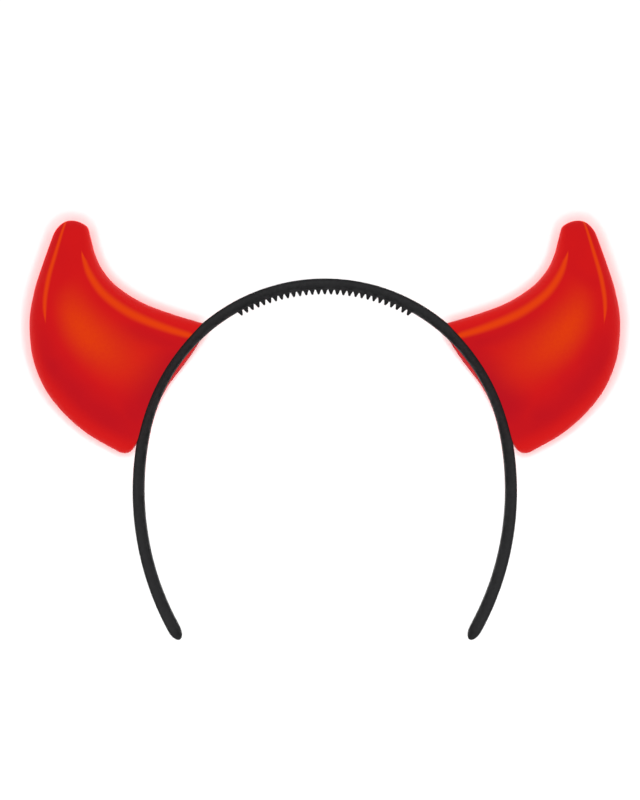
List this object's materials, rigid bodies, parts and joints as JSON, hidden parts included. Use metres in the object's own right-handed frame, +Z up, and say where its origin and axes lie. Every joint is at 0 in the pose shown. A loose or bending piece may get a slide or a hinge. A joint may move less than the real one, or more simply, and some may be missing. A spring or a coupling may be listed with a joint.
{
  "type": "light-up horns headband",
  "caption": "Light-up horns headband: a black C-shaped comb band with curved, hollow red horns on its shoulders, each closed by a plug on the band and lit from inside by a small lamp.",
  "frame": {"origin": "on the floor under the middle of the object's box, with the headband lying on its back", "axes": "+X from the left horn to the right horn as seen from the front, +Y towards the crown, +Z up, which is the way the front looks"},
  "size_m": [0.2182, 0.1536, 0.0377],
  "materials": {
    "band_black": "satin",
    "horn_red": "satin",
    "plug_red": "matte",
    "lamp_amber": "gloss"
  },
  "bodies": {
    "root": {"band": "band_black", "horn_left": "horn_red", "horn_right": "horn_red", "plug_left": "plug_red", "plug_right": "plug_red", "lamp_left": "lamp_amber", "lamp_right": "lamp_amber"}
  },
  "joints": []
}
